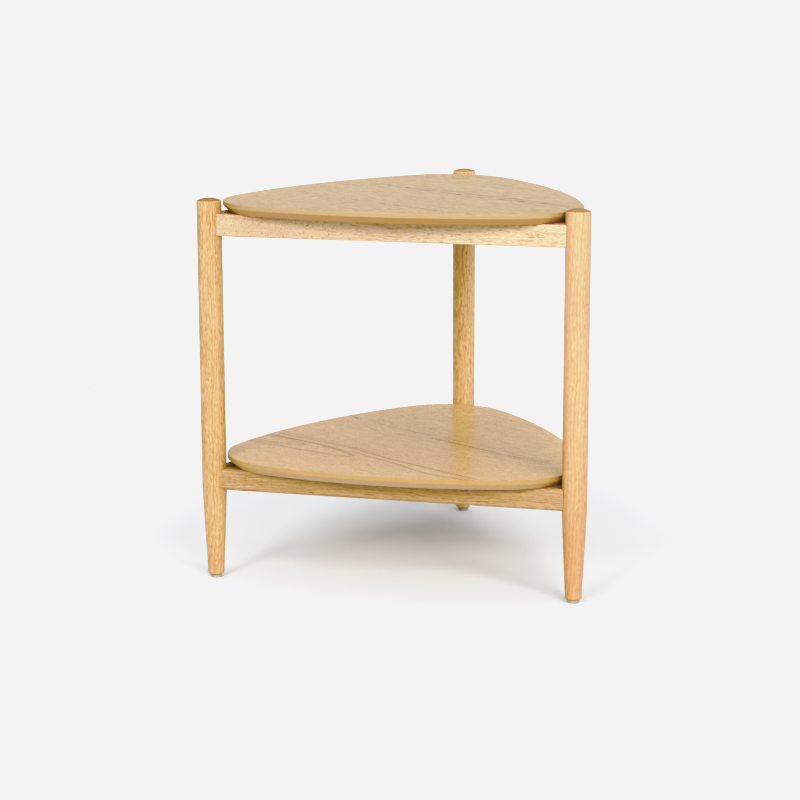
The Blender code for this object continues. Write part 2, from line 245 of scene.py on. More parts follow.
def finished(material, tree, colour, roughness, constants={}, relief=None):
    """Feed a material's shader, whose relief is a height, its strength and its depth."""
    sockets = material.node_tree.nodes["Principled BSDF"].inputs
    tree.feed(sockets["Base Color"], colour)
    tree.feed(sockets["Roughness"], roughness)
    for name, constant in constants.items():
        sockets[name].default_value = constant
    if relief:
        bump = dict(zip(("Height", "Strength", "Distance"), relief))
        tree.feed(sockets["Normal"], tree.node("ShaderNodeBump", {}, bump))
    return material


def soft_light(name, azimuth, elevation, spread, strength, glossy=True):
    """A wide sun lamp, placed in degrees. Azimuth 0 is in front, and 90 is on the right."""
    lamp = bpy.data.lights.new(name, "SUN")
    lamp.energy = strength
    lamp.angle = math.radians(spread)
    item = bpy.data.objects.new(name, lamp)
    item.rotation_euler = (math.radians(90 - elevation), 0, math.radians(azimuth))
    item.visible_glossy = glossy
    scene.collection.objects.link(item)


bpy.ops.mesh.primitive_grid_add(
    x_subdivisions=FLOOR_SQUARES, y_subdivisions=FLOOR_SQUARES, size=FLOOR_SPAN
)
floor = bpy.context.object
floor.name = "floor"
paper = finished(*new_material("pale_floor"), FLOOR_COLOUR, 1.0, {"Specular IOR Level": 0.0})
floor.data.materials.append(paper)

world = bpy.data.worlds.new("white_studio")
world.use_nodes = True
scene.world = world
sky = world.node_tree.nodes["Background"]
sky.inputs["Color"].default_value = (*SKY_COLOUR, 1)
sky.inputs["Strength"].default_value = SKY_STRENGTH

soft_light("main_light", 30, 18, 18, 1.65, glossy=False)
soft_light("high_light_right", 48, 32, 18, 1.153, glossy=False)
soft_light("light_left", -15, 28, 14, 1.093)
soft_light("low_light_left", -30, 18, 14, 0.645)
soft_light("low_light_right", 75, 10, 14, 0.339)
soft_light("high_light_front", 0, 48, 14, 0.222)
soft_light("wide_light_above", 0, 88, 60, 1.041)
soft_light("low_light_behind", 180, 14, 50, 0.12)
scene.view_settings.view_transform = "Standard"
scene.view_settings.use_curve_mapping = True
levels = scene.view_settings.curve_mapping
whites = levels.curves[3]
whites.points[1].location = PAPER_WHITE
tones = ((whites, LEVELS), (levels.curves[1], SHADOW_GREENS), (levels.curves[2], SHADOW_BLUES))
for curve, places in tones:
    for place in places:
        curve.points.new(*place)
    for point in curve.points:
        point.handle_type = "VECTOR"
levels.extend = "HORIZONTAL"
levels.update()

# %% [markdown]
# Wood is one solid pattern: year rings round the middle of the tree, with fibres and
# pores along them. If we know where each point of a piece lay in its board, the pattern
# comes out right on every face and on the ends. So each piece stores that point as an
# attribute named grain, with X along the fibres, and the woods below read it. A real
# board is never quite straight, so the point is first pushed sideways by slow noise:
# rings, fibres and pores then wave together. A second attribute, facing, says how far
# each face looks up or down, so that ends can have a finish of their own, and bevels
# a painted light of their own.

# %% The way the grain runs
def grain_point(tree, wander):
    """The point in its board, pushed sideways so that the grain waves."""
    point = tree.attribute("grain", "Vector")
    slow = tree.noise(point, (0.16, 0.05, 0.05), 1.0) - 0.5
    quick = tree.noise(point, (0.040, 0.018, 0.018), 1.0) - 0.5
    side = (slow + quick * 0.25) * wander
    return tree.vectors("ADD", point, tree.vector(0.0, side, side * 0.7))


def late_wood(tree, point, pith, width, cone):
    """1 at the end of each year's growth, stronger in some years than in others."""
    along, across, up = tree.parts(point)
    side = across - pith[0]
    depth = up - pith[1]
    rings = ((side * side + depth * depth) ** 0.5 + along * cone) / width
    year = {"W": math.floor(rings)}
    unlike = tree.node("ShaderNodeTexWhiteNoise", {"noise_dimensions": "1D"}, year)
    grown = rings.fraction()
    return grown.between(0.2, 0.85) * (1 - grown.between(0.88, 1.0)) * (unlike * 0.8 + 0.2)


def pore_marks(tree, point, length, width, share):
    """1 in short dashes along the fibres, crowded in some places."""
    crowd = tree.noise(point, (0.05, 0.008, 0.008), 1.0) - 0.5
    marks = tree.noise(point, (length, width, width), 0.0) + crowd * 0.35
    return marks.between(0.70 - share, 0.80 - share)


def facing_up(tree):
    """How far a face looks up: 1 for a level top, -1 for an underside."""
    return tree.attribute("facing", "Fac")


def diving(tree, point, dive):
    """The point for the pores, which slope through the face before a place on the board."""
    place, slope = dive
    if not slope:
        return point
    along = tree.parts(point)[0]
    before = along.math("MINIMUM", along - place, 0.0)
    return tree.vectors("ADD", point, tree.vector(0.0, before * slope, 0.0))


print("patterns of grain:", grain_point.__name__, late_wood.__name__, pore_marks.__name__)

# %% [markdown]
# The legs and rails are one kind of wood from many boards: a pale straw ground, darker
# late wood, brown pores, and a thin satin lacquer that leaves the pores a little open.
# The tone adds up noises of the fibres' own proportions, from long broad bands down to a
# fine grit, and a faint ripple across them. Where the surface cuts across the fibres, as
# on top of a leg, the wood soaks up more lacquer, so it looks darker and duller and its
# rings show more. A low end tint makes a piece darker towards one end of its board,
# fading out along it. The size of a pattern's lumps is given in metres: along the
# fibres, across them and up.

# %% Solid wood
END_TINT = (0.63, 0.60, 0.58)
LACQUER = {"IOR": 1.48, "Specular IOR Level": 0.32}
LONG_BANDS = (0.12, 0.0055, 0.0055)
FINE_BANDS = (0.060, 0.0022, 0.0022)
SPECKS = (0.0065, 0.0012, 0.0012)
RIPPLES = (0.0038, 0.02, 0.012)
RIPPLED_PATCHES = (0.05, 0.03, 0.03)
CLOUDS = (0.16, 0.03, 0.03)
TRUNK_TAPER = 0.01


def wood(
    name, pale, deep, pore, pith, ring, wander, dash,
    lines=0.7, bands=0.8, fine=1.0, grit=1.6, ripple=0.2, pores=0.6, dive=(0.0, 0.0),
    upright=True, low_end=None,
):
    """A lacquered wood from its three colours, its rings and the strength of each pattern."""
    material, tree = new_material(name)
    point = grain_point(tree, wander)
    pore_point = diving(tree, point, dive)
    along, across, up = tree.parts(point)
    late = late_wood(tree, point, pith, ring, TRUNK_TAPER)
    long_bands = tree.noise(point, LONG_BANDS, 2.0, 0.6) - 0.5
    fine_bands = tree.noise(point, FINE_BANDS, 2.0, 0.65) - 0.5
    specks = tree.noise(pore_point, SPECKS, 1.0) - 0.5
    slanted = tree.vector(along + up * 0.6, across, up)
    waves = tree.noise(slanted, RIPPLES, 1.0) - 0.5
    patches = tree.noise(point, RIPPLED_PATCHES, 1.0).between(0.35, 0.65)
    cloud = tree.noise(point, CLOUDS, 2.0) - 0.5
    marks = pore_marks(tree, pore_point, *dash)
    on_end = abs(facing_up(tree)).between(0.6, 0.9) if upright else 0.0
    rings = (late - 0.25) * (on_end * 0.7 + lines)
    grain = long_bands * bands + fine_bands * fine + specks * grit
    tone = grain + rings + waves * patches * ripple + cloud * 0.6 + 0.5
    colour = tree.mix(tone, pale, deep)
    colour = tree.mix(marks * pores, colour, pore)
    if low_end:
        start, finish, tint = low_end
        toned = tree.vectors("MULTIPLY", colour, tint)
        colour = tree.mix(1 - along.between(start, finish), colour, toned)
    soaked = tree.vectors("MULTIPLY", colour, END_TINT)
    colour = tree.mix(on_end, colour, soaked)
    roughness = 0.42 + grain * 0.15 + marks * 0.2 + on_end * 0.3
    height = grain * 0.4 - marks * 0.5 - late * 0.2
    return finished(material, tree, colour, roughness, LACQUER, (height, 0.35, 0.0003))


print("end grain is tinted by", END_TINT)

# %% Boards for the legs and rails
left_leg_wood = wood(
    "warm_leg_wood", (0.496, 0.335, 0.178), (0.352, 0.214, 0.098), (0.261, 0.137, 0.053),
    pith=(0.06, 0.05), ring=0.0034, wander=0.018, dash=(0.009, 0.0013, 0.03),
    fine=0.9, grit=2.0,
)
right_leg_wood = wood(
    "clear_leg_wood", (0.560, 0.360, 0.206), (0.415, 0.254, 0.131), (0.335, 0.174, 0.078),
    pith=(0.10, 0.03), ring=0.0046, wander=0.016, dash=(0.006, 0.0012, -0.03),
    lines=0.8, bands=0.3, fine=0.6, grit=1.9, ripple=0.1, pores=0.4,
    # The right leg gets darker towards its foot.
    low_end=(0.96, 1.20, (0.89, 0.83, 0.77)),
)
back_leg_wood = wood(
    "brown_leg_wood", (0.607, 0.425, 0.244), (0.431, 0.273, 0.133), (0.302, 0.161, 0.071),
    pith=(0.05, 0.06), ring=0.0032, wander=0.018, dash=(0.008, 0.0015, 0.04),
    bands=0.6, fine=0.8, ripple=0.4,
)
pale_rail_wood = wood(
    "pale_rail_wood", (0.604, 0.468, 0.330), (0.428, 0.302, 0.182), (0.310, 0.193, 0.097),
    pith=(0.05, 0.06), ring=0.0040, wander=0.020, dash=(0.008, 0.0015, 0.05),
    lines=0.4, bands=0.4, fine=0.5, grit=1.9, pores=0.7, dive=(-0.06, 0.7),
    # The upper front rail gets darker towards its left end.
    upright=False, low_end=(-0.24, -0.06, (0.85, 0.80, 0.77)),
)
tan_rail_wood = wood(
    "tan_rail_wood", (0.401, 0.273, 0.157), (0.284, 0.176, 0.085), (0.207, 0.113, 0.048),
    pith=(0.05, 0.05), ring=0.0034, wander=0.026, dash=(0.012, 0.0014, 0.03),
    fine=1.1, grit=1.4, ripple=0.5, upright=False,
)
beech = wood(
    "plain_beech", (0.64, 0.45, 0.27), (0.52, 0.33, 0.17), (0.38, 0.20, 0.09),
    pith=(0.02, 0.03), ring=0.003, wander=0.004, dash=(0.003, 0.0008, 0.02),
)
print("solid woods are ready, such as", pale_rail_wood.name)

# %% [markdown]
# The shelves are board with a thin oak veneer. Its figure is drawn from listed points,
# because it is what one remembers of a table: long dark lines, two arches where the knife
# met the middle of the log, and rows of short brown flecks. A line is given by a few
# points (along the fibres, across them), measured from the middle of the sheet, and a
# Float Curve node runs smoothly through them. The edges show no figure, only a smooth
# stain, with painted bounce light on their bevels.

# %% Lines, flecks and arches in a veneer
SHEET = 0.6  # the side of the square sheet on which lines are drawn
LINE_FADE = 0.03  # how far a line takes to fade in and out
LINE_PATCHES = (0.05, 0.02, 0.02)  # the lumps in which a line is deeper
FLECK_HALF = 0.009
ARCH_HALF = 0.020  # from the middle of an arch to where it has run back by its reach


def line_depth(tree, point, width, line):
    """1 along a thin line through (along, across) points, deeper in some places."""
    along, across, _ = tree.parts(point)
    drawn = [(x / SHEET + 0.5, y / SHEET + 0.5) for x, y in line]
    curve = tree.node("ShaderNodeFloatCurve", {"mapping": drawn}, {"Value": along / SHEET + 0.5})
    near = 1 - abs(across - (curve - 0.5) * SHEET).between(width * 0.2, width)
    depth = tree.noise(point, LINE_PATCHES, 1.0).between(0.2, 0.6) * 0.5 + 0.5
    start, finish = line[0][0], line[-1][0]
    begun = along.between(start, start + LINE_FADE)
    ended = along.between(finish - LINE_FADE, finish)
    return near * depth * (begun * (1 - ended))


def fleck_depth(tree, point, width, line, flecks):
    """A faint line that is dark at some places along it."""
    along = tree.parts(point)[0]
    distance = abs(along - flecks[0])
    for fleck in flecks[1:]:
        distance = distance.math("MINIMUM", distance, abs(along - fleck))
    between_flecks = distance.between(0.001, FLECK_HALF)
    return line_depth(tree, point, width, line) * (1 - between_flecks * 0.75)


def arch_depth(tree, point, tip, reach):
    """1 along an arch that is open towards -X, from its tip (along, across)."""
    along, across, _ = tree.parts(point)
    off = abs(across - tip[1]) / ARCH_HALF
    distance = abs(along - tip[0] + off**2.5 * reach)
    return 1 - (distance / (off**1.5 * 0.04 + 0.006)).between(0.2, 1.0)


print("lines are drawn on a sheet of", SHEET, "m")

# %% Veneer
SATIN = {"IOR": 1.48, "Specular IOR Level": 0.35}
VENEER_BANDS = (0.14, 0.012, 0.012)
VENEER_FINE_BANDS = (0.050, 0.0050, 0.0050)
VENEER_SPECKS = (0.016, 0.0027, 0.0027)
VENEER_CLOUDS = (0.20, 0.06, 0.06)
VENEER_DASH = (0.010, 0.0028, 0.03)
VENEER_WANDER = 0.012
VENEER_TAPER = 0.028
EDGE_CLOUDS = (0.05, 0.05, 0.02)
EDGE_LAYERS = (0.02, 0.02, 0.0012)


def veneer(name, pale, deep, dark, pith, ring, rings, bands, grit, lines, flecks=(), arches=()):
    """Lacquered oak veneer. Lines, flecks and arches each start with their strength."""
    material, tree = new_material(name)
    point = grain_point(tree, VENEER_WANDER)
    late = late_wood(tree, point, pith, ring, VENEER_TAPER)
    long_bands = tree.noise(point, VENEER_BANDS, 2.0, 0.6) - 0.5
    fine_bands = tree.noise(point, VENEER_FINE_BANDS, 2.0, 0.6) - 0.5
    specks = tree.noise(point, VENEER_SPECKS, 1.0) - 0.5
    cloud = tree.noise(point, VENEER_CLOUDS, 2.0) - 0.5
    marks = pore_marks(tree, point, *VENEER_DASH)
    grain = (long_bands * 0.4 + fine_bands + cloud * 0.4) * bands + specks * grit
    colour = tree.mix(grain + (late - 0.25) * rings + 0.5, pale, deep)
    colour = tree.mix(marks * 0.3, colour, dark)
    for depth_of, figures in ((line_depth, lines), (fleck_depth, flecks), (arch_depth, arches)):
        for strength, *drawn in figures:
            colour = tree.mix(depth_of(tree, point, *drawn) * strength, colour, dark)
    relief = (grain * 0.3 - marks, 0.3, 0.0002)
    return finished(material, tree, colour, 0.27 + grain * 0.05, SATIN, relief)


def stained_edge(name, pale, deep, bevel_light_tint):
    """A smooth stained edge with a trace of the board's layers, and painted bounce light on its bevel.
    """
    material, tree = new_material(name)
    point = tree.node("ShaderNodeTexCoord", {}, {}, "Object")
    cloud = tree.noise(point, EDGE_CLOUDS, 2.0)
    fine = tree.noise(point, EDGE_LAYERS, 2.0)
    colour = tree.mix(cloud * 0.8 + fine * 0.5 - 0.15, pale, deep)
    # The bevel looks down, and its tint is painted light: the light bounced up onto it from below.
    on_bevel = (-facing_up(tree)).between(0.2, 0.6)
    painted_bevel_light = tree.vectors("MULTIPLY", colour, bevel_light_tint)
    colour = tree.mix(on_bevel, colour, painted_bevel_light)
    return finished(material, tree, colour, 0.42 + (fine - 0.5) * 0.2, {"IOR": 1.48})


print("sheets are made by", veneer.__name__, "and", stained_edge.__name__)

# %% Sheets for the shelves
top_veneer = veneer(
    "table_top_veneer", (0.529, 0.375, 0.182), (0.400, 0.263, 0.114), (0.170, 0.072, 0.028),
    pith=(0.16, 0.12), ring=0.006, rings=0.25, bands=1.2, grit=2.6,
    lines=[
        (0.5, 0.004, [(-0.07, 0.062), (0.01, 0.067), (0.06, 0.064), (0.14, 0.066), (0.24, 0.059)]),
    ],
    flecks=[
        (1.0, 0.0048, [(-0.17, 0.056), (-0.075, 0.052), (0.0, 0.050), (0.09, 0.045),
                       (0.16, 0.052), (0.27, 0.058)],
         (-0.117, -0.075, -0.030, 0.003, 0.040, 0.089, 0.123, 0.160, 0.198, 0.232)),
        (0.8, 0.0045, [(-0.17, -0.080), (-0.14, -0.094), (-0.05, -0.1005), (0.05, -0.103),
                       (0.24, -0.100)],
         (-0.140, -0.045, -0.017, 0.045, 0.072, 0.123, 0.146, 0.213)),
    ],
)
shelf_veneer = veneer(
    "lower_shelf_veneer", (0.646, 0.465, 0.254), (0.499, 0.334, 0.165), (0.351, 0.193, 0.083),
    pith=(-0.122, 0.040), ring=0.0034, rings=0.4, bands=0.35, grit=1.7,
    lines=[
        (0.4, 0.0035, [(-0.22, -0.072), (-0.113, -0.077), (-0.043, -0.081), (0.02, -0.085)]),
        (0.8, 0.0035, [(-0.22, -0.082), (-0.12, -0.086), (-0.043, -0.088), (0.017, -0.094),
                       (0.062, -0.100), (0.127, -0.106), (0.22, -0.110)]),
        (0.75, 0.0035, [(-0.22, -0.099), (-0.063, -0.1035), (-0.003, -0.106), (0.057, -0.114),
                        (0.117, -0.1275), (0.167, -0.124), (0.24, -0.117)]),
        (0.9, 0.0040, [(-0.02, 0.041), (0.057, 0.037), (0.112, 0.030), (0.162, 0.027), (0.24, 0.025)]),
        (0.5, 0.0030, [(-0.165, 0.072), (-0.113, 0.059), (-0.053, 0.055), (0.017, 0.0535),
                       (0.087, 0.051), (0.137, 0.044), (0.187, 0.035), (0.24, 0.029)]),
        (0.5, 0.0030, [(0.08, 0.021), (0.16, 0.019), (0.24, 0.017)]),
        (0.8, 0.0040, [(-0.215, 0.081), (-0.188, 0.069), (-0.160, 0.058)]),
        (0.3, 0.0035, [(-0.16, 0.0195), (-0.098, 0.011), (-0.03, 0.010)]),
        (0.4, 0.0035, [(-0.06, 0.215), (-0.003, 0.209), (0.037, 0.2025), (0.09, 0.190)]),
    ],
    arches=[(0.5, (-0.118, -0.120), 0.10), (0.6, (-0.018, -0.1225), 0.10)],
)
# The last three numbers of each edge tint its bevel with painted bounce light.
top_edge = stained_edge(
    "table_top_edge", (0.366, 0.262, 0.137), (0.337, 0.235, 0.115), (1.10, 0.94, 1.00)
)
# The lower shelf's edge is a darker copy of the top's, painted shade, and its bevel is painted much
# lighter, with painted light from the floor below.
shelf_edge = stained_edge(
    "lower_shelf_edge", (0.357, 0.248, 0.108), (0.328, 0.222, 0.092), (1.22, 1.18, 1.58)
)
print("veneers:", top_veneer.name, shelf_veneer.name)

# %% [markdown]
# The glides are a plain grey plastic and the screws and nails are plated steel. Nothing
# on them follows a pattern, so one even lump noise varies their tone and gloss a little.

# %% Plastic and steel
def speckled(name, colour, roughness, metallic, size):
    """A plain surface whose tone and gloss vary a little in fine lumps."""
    material, tree = new_material(name)
    point = tree.node("ShaderNodeTexCoord", {}, {}, "Object")
    lumps = tree.noise(point, (size, size, size), 3.0)
    colour = tree.vectors("SCALE", colour, 0.9 + lumps * 0.2)
    roughness = roughness + (lumps - 0.5) * 0.2
    relief = (lumps, 0.2, size * 0.1)
    return finished(material, tree, colour, roughness, {"Metallic": metallic}, relief)


glide_plastic = speckled("grey_plastic", (0.34, 0.33, 0.28), 0.5, 0.0, 0.0012)
steel = speckled("zinc_plated_steel", (0.66, 0.65, 0.62), 0.32, 1.0, 0.0008)
print("plain finishes:", glide_plastic.name, steel.name)

# %% [markdown]
# The frame says where each piece is. The legs stand upright, so the middle of a leg's
# box is its axis, and each pair of rails runs from one axis to the next. The rest is
# measured from these three points.

# %% Measure the frame
LEGS = ("left", "right", "back")
SIDES = {"front": ("left", "right"), "right": ("right", "back"), "left": ("back", "left")}
TIERS = ("upper", "lower")
FIT = 0.0003  # the gap between two pieces that touch
UP = Vector((0, 0, 1))


def middle_of(node):
    low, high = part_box(node)
    return (low + high) / 2


def bottom_of(node):
    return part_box(node)[0].z


def top_of(node):
    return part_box(node)[1].z


def height_of(node):
    low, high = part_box(node)
    return (high - low).z


def on_axis(node, height):
    """The point in the middle of an upright piece, so high above the floor."""
    return middle_of(node).xy.to_3d() + UP * height


dowel_nodes = [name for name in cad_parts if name.startswith("dowel_")]
screw_nodes = [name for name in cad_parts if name.startswith("screw_")]
leg_axes = {leg: on_axis(f"leg_{leg}", 0) for leg in LEGS}
table_middle = sum(leg_axes.values(), Vector()) / len(LEGS)
rail_ends = {side: (leg_axes[start], leg_axes[end]) for side, (start, end) in SIDES.items()}
rail_runs = {side: end - start for side, (start, end) in rail_ends.items()}
rail_spots = {side: (start + end) / 2 for side, (start, end) in rail_ends.items()}
rail_turns = {side: math.atan2(run.y, run.x) for side, run in rail_runs.items()}
print("leg axes:", {leg: tuple(round(n, 4) for n in axis.xy) for leg, axis in leg_axes.items()})

# %% [markdown]
# Holes, copes and mitres are cut with simple closed shapes, as drills and saws would
# cut them. One set serves the whole table: a dowel's hole is a single cylinder that
# cuts the leg and the rail alike, so the two halves of the hole always line up.

# %% Shapes to cut with
HOLE_SIDES = 24
COPE_SIDES = 96
SCREW_DIAMETER = 0.004
COUNTERBORE_DIAMETER = 0.011
COUNTERBORE_DEPTH = 0.010
LEG_DIAMETER = 0.035
DOWEL_DIAMETER = 0.008
DOWEL_LENGTH = 0.030
RAIL_THICKNESS = 0.022
OVERRUN = 0.020  # how far a cutting shape runs out of the wood
TALL = 1.0  # the height of shapes that cut both tiers

leg_radius = LEG_DIAMETER / 2
rail_height = height_of("upper_rail_front")
bench = []


def put_on_bench(name, mesh):
    """Keep a shape for cutting, out of the picture."""
    item = bpy.data.objects.new(name, mesh)
    scene.collection.objects.link(item)
    item.hide_render = True
    bench.append(item)
    return item


def finish_shape(name, shape):
    """Put a shape on the bench."""
    mesh = bpy.data.meshes.new(name)
    shape.to_mesh(mesh)
    shape.free()
    return put_on_bench(name, mesh)


def cylinders(name, sides, radius, runs):
    """A shape of closed cylinders, one for each (start, end)."""
    shape = bmesh.new()
    for start, end in runs:
        run = end - start
        turn = run.to_track_quat("Z", "Y").to_matrix().to_4x4()
        bmesh.ops.create_cone(
            shape, cap_ends=True, segments=sides, radius1=radius, radius2=radius,
            depth=run.length, matrix=Matrix.Translation((start + end) / 2) @ turn,
        )
    return finish_shape(name, shape)


def mitre_blocks(name, side):
    """Two blocks that take a rail's ends off, halfway between it and its neighbour."""
    shape = bmesh.new()
    block = Matrix.Diagonal((2 * RAIL_THICKNESS, RAIL_THICKNESS, TALL, 1))
    for end, sign in zip(SIDES[side], (1, -1)):
        inwards = table_middle - leg_axes[end]
        turn = Matrix.Rotation(math.atan2(inwards.y, inwards.x), 4, "Z")
        out = sign * (RAIL_THICKNESS / 2 + FIT / 2)
        offset = Matrix.Translation((RAIL_THICKNESS, out, TALL / 2))
        place = Matrix.Translation(leg_axes[end]) @ turn @ offset @ block
        bmesh.ops.create_cube(shape, size=1, matrix=place)
    return finish_shape(name, shape)


def way_of(dowel):
    """The direction of the rail that a dowel's name gives."""
    return rail_runs[dowel.split("_")[2]].normalized()


def dowel_hole(dowel):
    reach = way_of(dowel) * (DOWEL_LENGTH / 2 + FIT)
    return middle_of(dowel) - reach, middle_of(dowel) + reach


def screw_hole(screw):
    return on_axis(screw, bottom_of(screw) - OVERRUN), on_axis(screw, top_of(screw) + FIT)


def counterbore(screw):
    under = bottom_of(f"{screw.split('_')[1]}_rail_front")
    return on_axis(screw, under - OVERRUN), on_axis(screw, under + COUNTERBORE_DEPTH)


dowel_holes = cylinders(
    "dowel_holes", HOLE_SIDES, DOWEL_DIAMETER / 2 + FIT, map(dowel_hole, dowel_nodes)
)
screw_holes = cylinders(
    "screw_holes", HOLE_SIDES, SCREW_DIAMETER / 2 + FIT, map(screw_hole, screw_nodes)
)
counterbores = cylinders(
    "counterbores", HOLE_SIDES, COUNTERBORE_DIAMETER / 2, map(counterbore, screw_nodes)
)
copes = cylinders(
    "copes", COPE_SIDES, leg_radius + FIT,
    [(axis - UP * OVERRUN, axis + UP * TALL) for axis in leg_axes.values()],
)
mitres = {side: mitre_blocks(f"mitres_{side}", side) for side in SIDES}
print("dowels:", len(dowel_nodes), "screws:", len(screw_nodes))

# %% [markdown]
# Each main piece has a recipe in Geometry Nodes, with its sizes as named inputs. A
# recipe is run on an object, which holds the profile of a turned piece or nothing, and
# its result is kept as a plain mesh, without the modifier, so that anything that opens
# the file finds ordinary pieces.

# %% Start, end and run a recipe
SHARP = math.radians(32)


def new_recipe(name, inputs):
    """A Geometry Nodes tree with inputs of some kinds: the group, the tree and the inputs."""
    group = bpy.data.node_groups.new(name, "GeometryNodeTree")
    for kind, titles in {"Geometry": ["Geometry"], **inputs}.items():
        for title in titles:
            group.interface.new_socket(title, in_out="INPUT", socket_type=f"NodeSocket{kind}")
    group.interface.new_socket("Geometry", in_out="OUTPUT", socket_type="NodeSocketGeometry")
    tree = Tree(group)
    source = group.nodes.new("NodeGroupInput")
    given = {socket.name: Value(tree, socket) for socket in source.outputs if socket.name}
    return group, tree, given


def end_recipe(tree, geometry, finishes):
    """Turn instances into real faces, and give faces their (selection, material)."""
    geometry = tree.node("GeometryNodeRealizeInstances", {}, {"Geometry": geometry})
    for selection, material in finishes:
        sockets = {"Geometry": geometry, "Selection": selection, "Material": material}
        geometry = tree.node("GeometryNodeSetMaterial", {}, sockets)
    end = tree.nodes.new("NodeGroupOutput")
    tree.feed(end.inputs["Geometry"], geometry)


def evaluated_mesh(item):
    graph = bpy.context.evaluated_depsgraph_get()
    return bpy.data.meshes.new_from_object(item.evaluated_get(graph))


def run_recipe(name, group, values, profile=()):
    """Run a recipe on a profile's points, and keep the result as a plain object."""
    start = bpy.data.meshes.new(f"{name}_start")
    edges = [(index, index + 1) for index in range(len(profile) - 1)]
    start.from_pydata([(point.x, 0, point.y) for point in profile], edges, [])
    item = bpy.data.objects.new(name, start)
    scene.collection.objects.link(item)
    modifier = item.modifiers.new("recipe", "NODES")
    modifier.node_group = group
    for socket in group.interface.items_tree:
        if socket.in_out == "INPUT" and socket.name in values:
            modifier[socket.identifier] = values[socket.name]
    item.data = evaluated_mesh(item)
    item.modifiers.clear()
    item.data.shade_smooth()
    item.data.set_sharp_from_angle(angle=SHARP)
    weights = item.modifiers.new("weighted normals", "WEIGHTED_NORMAL")
    weights.keep_sharp = True
    item.data = evaluated_mesh(item)
    item.modifiers.clear()
    facing = item.data.attributes.new("facing", "FLOAT", "FACE")
    facing.data.foreach_set("value", [face.normal.z for face in item.data.polygons])
    item.data.name = name
    print(f"{name}: {len(item.data.polygons)} faces")
    return item


def replace(piece, slot, *nodes):
    """Let a finished piece stand for its nodes of the frame."""
    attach(piece, "root")
    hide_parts(*nodes)


print("edges that bend by more than", round(math.degrees(SHARP)), "degrees stay crisp")

# %% [markdown]
# A few steps come back in the recipes: cutting, moving, storing values such as the
# grain, and rolling a profile round an axis. The last one is how a lathe works. A
# grid's columns go round the axis and its rows follow the profile, and the seam and
# the poles are closed by merging the points that meet there.

# %% Steps that recipes share
MERGE = 0.00001
NO_TURN = 0.0


def shape_of(tree, item):
    return tree.node("GeometryNodeObjectInfo", {}, {"Object": item}, "Geometry")


def cut(tree, geometry, *tools):
    """Take the shapes of some objects out of a mesh."""
    return tree.node(
        "GeometryNodeMeshBoolean",
        {"operation": "DIFFERENCE", "solver": "EXACT"},
        {"Mesh 1": geometry, "Mesh 2": [shape_of(tree, tool) for tool in tools]},
    )


def merge(tree, geometry):
    sockets = {"Geometry": geometry, "Distance": MERGE}
    return tree.node("GeometryNodeMergeByDistance", {}, sockets)


def put(tree, geometry, spot, turn):
    """Turn a geometry about Z and move it to its spot."""
    rotation = tree.vector(0.0, 0.0, turn)
    sockets = {"Geometry": geometry, "Translation": spot, "Rotation": rotation}
    return tree.node("GeometryNodeTransform", {}, sockets)


def move(tree, geometry, places, moved=True):
    """Move the points of a mesh, or the moved ones, to their places."""
    sockets = {"Geometry": geometry, "Selection": moved, "Position": places}
    return tree.node("GeometryNodeSetPosition", {}, sockets)


def store(tree, geometry, name, kind, value):
    """Store a value of each point under a name."""
    return tree.node(
        "GeometryNodeStoreNamedAttribute",
        {"data_type": kind, "domain": "POINT"},
        {"Geometry": geometry, "Name": name, "Value": value},
    )


def stored(tree, name, kind):
    return tree.node("GeometryNodeInputNamedAttribute", {"data_type": kind}, {"Name": name})


def store_grain(tree, geometry, spot, turn, board, upright=False):
    """Store where each point lies in its board, with X along the fibres."""
    from_spot = tree.vectors("SUBTRACT", tree.node("GeometryNodeInputPosition"), spot)
    sockets = {"Vector": from_spot, "Angle": -turn}
    local = tree.node("ShaderNodeVectorRotate", {"rotation_type": "Z_AXIS"}, sockets)
    if upright:
        x, y, z = tree.parts(local)
        local = tree.vector(z, x, y)
    return store(tree, geometry, "grain", "FLOAT_VECTOR", tree.vectors("ADD", local, board))


def turned(tree, profile, columns):
    """Roll a grid round Z, with the profile's points as its rows."""
    rows = tree.node("GeometryNodeAttributeDomainSize", {}, {"Geometry": profile})
    grid = tree.node("GeometryNodeMeshGrid", {}, {"Vertices X": columns + 1, "Vertices Y": rows})
    index = tree.node("GeometryNodeInputIndex")
    position = tree.node("GeometryNodeInputPosition")
    point = tree.node(
        "GeometryNodeSampleIndex",
        {"data_type": "FLOAT_VECTOR", "domain": "POINT"},
        {"Geometry": profile, "Value": position, "Index": index % rows},
    )
    radius, _, height = tree.parts(point)
    angle = math.floor(index / rows) / columns * math.tau
    rolled = tree.vector(radius * angle.cos(), radius * angle.sin(), height)
    return merge(tree, move(tree, grid, rolled))


print("steps:", ", ".join(step.__name__ for step in (cut, merge, put, move, store, turned)))

# %% [markdown]
# A profile is a few corners, and each corner may be rounded. The arc that rounds a
# corner touches both of its lines, which gives the arc's centre and its two ends.

# %% Profiles with rounded corners
ARC_STEP = math.radians(12)


def arc(centre, radius, start, end):
    """Points along an arc, both ends included, at most ARC_STEP apart."""
    count = max(1, math.ceil(abs(end - start) / ARC_STEP))
    angles = [start + (end - start) * step / count for step in range(count + 1)]
    return [centre + radius * Vector((math.cos(angle), math.sin(angle))) for angle in angles]


